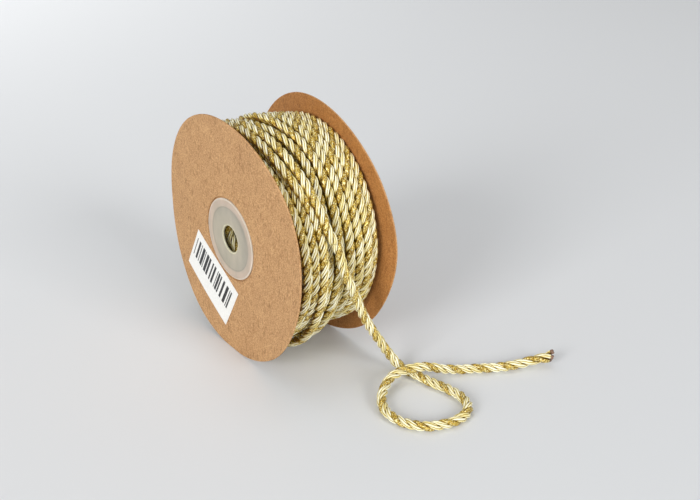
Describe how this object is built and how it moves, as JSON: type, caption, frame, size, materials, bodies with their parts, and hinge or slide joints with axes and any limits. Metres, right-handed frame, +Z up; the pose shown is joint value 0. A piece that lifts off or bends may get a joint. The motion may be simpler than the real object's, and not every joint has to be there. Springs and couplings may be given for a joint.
{
  "type": "reel of twisted cord",
  "caption": "Reel of twisted decorative cord between two bowed card discs, with pressed hub washers, a bare sticker and a loose end that lies in a loop.",
  "frame": {"origin": "on the ground under the middle of the reel", "axes": "+X along the reel's axis from the labelled flange to the plain one, -Y to the side where the loose end comes off, +Z up"},
  "size_m": [0.0738, 0.1101, 0.0746],
  "materials": {
    "card": "matt brown kraft card",
    "hub": "milky satin plastic",
    "label": "smooth white paper",
    "cord": "satin cream strands with one gold strand"
  },
  "bodies": {
    "root": {"flange_front": "card", "flange_back": "card", "hub_front": "hub", "hub_back": "hub", "label": "label", "wound_cord": "cord", "loose_end": "cord"}
  },
  "joints": []
}
